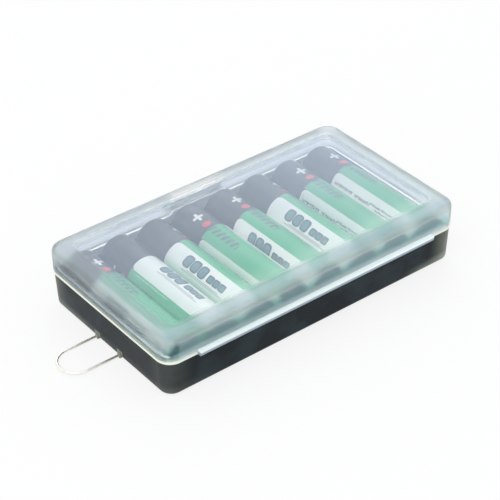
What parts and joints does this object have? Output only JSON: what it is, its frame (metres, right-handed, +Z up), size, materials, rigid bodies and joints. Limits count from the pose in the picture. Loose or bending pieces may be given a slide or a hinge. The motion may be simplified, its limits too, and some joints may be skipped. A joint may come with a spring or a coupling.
{
  "type": "battery storage case",
  "caption": "Flat hinged storage case for small cylindrical cells: smoke-black tray with cradles, frosted clear lid with a finger lip, and a sliding wire hanger loop at one end.",
  "frame": {"origin": "centre of the tray's underside", "axes": "+X along the case away from the hanger loop, +Y from the finger lip to the hinge, +Z up"},
  "size_m": [0.1059, 0.0553, 0.0173],
  "materials": {
    "smoke_plastic": "smoke-black translucent, satin",
    "frosted_plastic": "frosted clear, satin, with a polished panel on top",
    "steel_wire": "bright drawn",
    "nickel_steel": "nickel plated",
    "printed_sleeve": "printed shrink film: green body, white panel, charcoal end",
    "nickel_cap": "nickel plated",
    "washer_card": "insulating card"
  },
  "bodies": {
    "tray": {"tray": "smoke_plastic"},
    "lid": {"lid": "frosted_plastic"},
    "hanger": {"hanger_wire": "steel_wire"},
    "cell_1": {"cell_1_can": "nickel_steel", "cell_1_sleeve": "printed_sleeve", "cell_1_cap": "nickel_cap", "cell_1_washer": "washer_card"},
    "cell_2": {"cell_2_can": "nickel_steel", "cell_2_sleeve": "printed_sleeve", "cell_2_cap": "nickel_cap", "cell_2_washer": "washer_card"},
    "cell_3": {"cell_3_can": "nickel_steel", "cell_3_sleeve": "printed_sleeve", "cell_3_cap": "nickel_cap", "cell_3_washer": "washer_card"},
    "cell_4": {"cell_4_can": "nickel_steel", "cell_4_sleeve": "printed_sleeve", "cell_4_cap": "nickel_cap", "cell_4_washer": "washer_card"},
    "cell_5": {"cell_5_can": "nickel_steel", "cell_5_sleeve": "printed_sleeve", "cell_5_cap": "nickel_cap", "cell_5_washer": "washer_card"},
    "cell_6": {"cell_6_can": "nickel_steel", "cell_6_sleeve": "printed_sleeve", "cell_6_cap": "nickel_cap", "cell_6_washer": "washer_card"},
    "cell_7": {"cell_7_can": "nickel_steel", "cell_7_sleeve": "printed_sleeve", "cell_7_cap": "nickel_cap", "cell_7_washer": "washer_card"},
    "cell_8": {"cell_8_can": "nickel_steel", "cell_8_sleeve": "printed_sleeve", "cell_8_cap": "nickel_cap", "cell_8_washer": "washer_card"}
  },
  "joints": [
    {"name": "lid_hinge", "type": "hinge", "parent": "tray", "child": "lid", "pos_m": [0, 0.0272, 0.011], "axis": [-1, 0, 0], "range_deg": [0, 135]},
    {"name": "hanger_slide", "type": "slide", "parent": "tray", "child": "hanger", "axis": [1, 0, 0], "range_m": [0, 0.008]},
    {"name": "cell_1_roll", "type": "hinge", "parent": "tray", "child": "cell_1", "pos_m": [-0.0385, 0, 0.00825], "axis": [0, 1, 0], "continuous": true},
    {"name": "cell_2_roll", "type": "hinge", "parent": "tray", "child": "cell_2", "pos_m": [-0.0275, 0, 0.00825], "axis": [0, 1, 0], "continuous": true},
    {"name": "cell_3_roll", "type": "hinge", "parent": "tray", "child": "cell_3", "pos_m": [-0.0165, 0, 0.00825], "axis": [0, 1, 0], "continuous": true},
    {"name": "cell_4_roll", "type": "hinge", "parent": "tray", "child": "cell_4", "pos_m": [-0.0055, 0, 0.00825], "axis": [0, 1, 0], "continuous": true},
    {"name": "cell_5_roll", "type": "hinge", "parent": "tray", "child": "cell_5", "pos_m": [0.0055, 0, 0.00825], "axis": [0, 1, 0], "continuous": true},
    {"name": "cell_6_roll", "type": "hinge", "parent": "tray", "child": "cell_6", "pos_m": [0.0165, 0, 0.00825], "axis": [0, 1, 0], "continuous": true},
    {"name": "cell_7_roll", "type": "hinge", "parent": "tray", "child": "cell_7", "pos_m": [0.0275, 0, 0.00825], "axis": [0, 1, 0], "continuous": true},
    {"name": "cell_8_roll", "type": "hinge", "parent": "tray", "child": "cell_8", "pos_m": [0.0385, 0, 0.00825], "axis": [0, 1, 0], "continuous": true}
  ]
}
